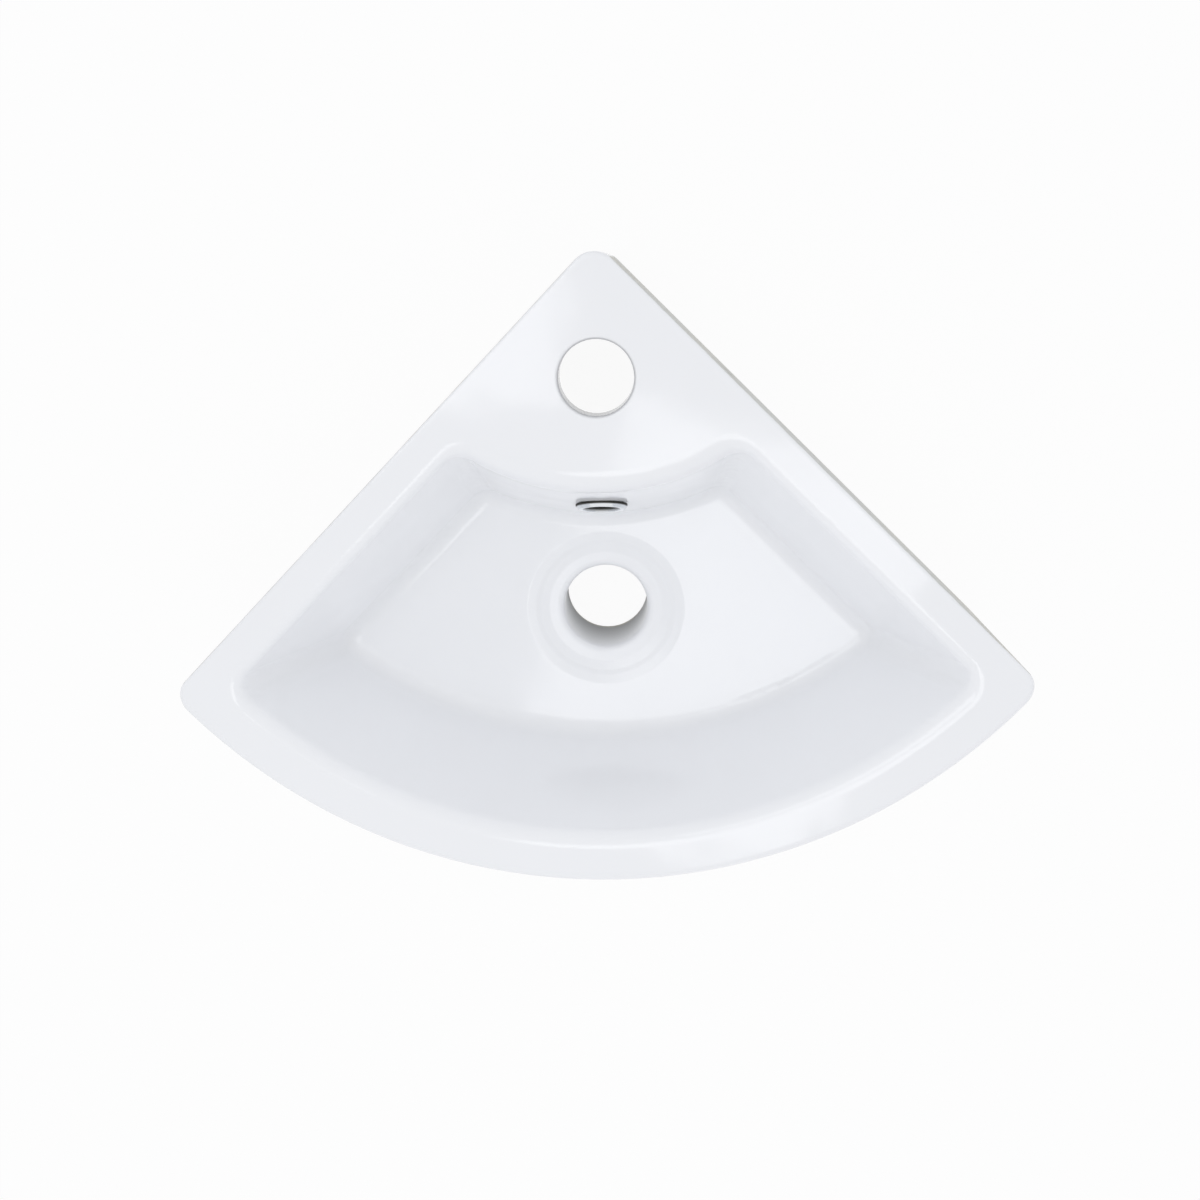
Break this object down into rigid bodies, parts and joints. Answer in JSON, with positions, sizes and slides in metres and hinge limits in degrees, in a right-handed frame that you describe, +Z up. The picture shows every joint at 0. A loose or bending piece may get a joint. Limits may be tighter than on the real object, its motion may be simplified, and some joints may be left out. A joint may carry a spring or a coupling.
{
  "type": "corner basin",
  "caption": "Small wall-hung corner basin: quarter-round glazed china bowl with a tap ledge, waste hole and a chromed overflow ring.",
  "frame": {"origin": "on the axis of the waste hole, in the plane of the underside", "axes": "+Z up along the waste hole, +Y towards the room corner, -Y towards the rounded front, X left to right across the two front tips; the walls lie at 45 degrees on either side of +Y"},
  "size_m": [0.4156, 0.3074, 0.125],
  "materials": {
    "glazed_china": "white glaze on vitreous china; bare fired clay on the wall faces and the foot",
    "chrome_plate": "polished chrome plate on brass",
    "moulded_collar": "natural moulded polypropylene"
  },
  "bodies": {
    "root": {"basin_body": "glazed_china", "overflow_bezel": "chrome_plate", "overflow_sleeve": "moulded_collar"}
  },
  "joints": []
}
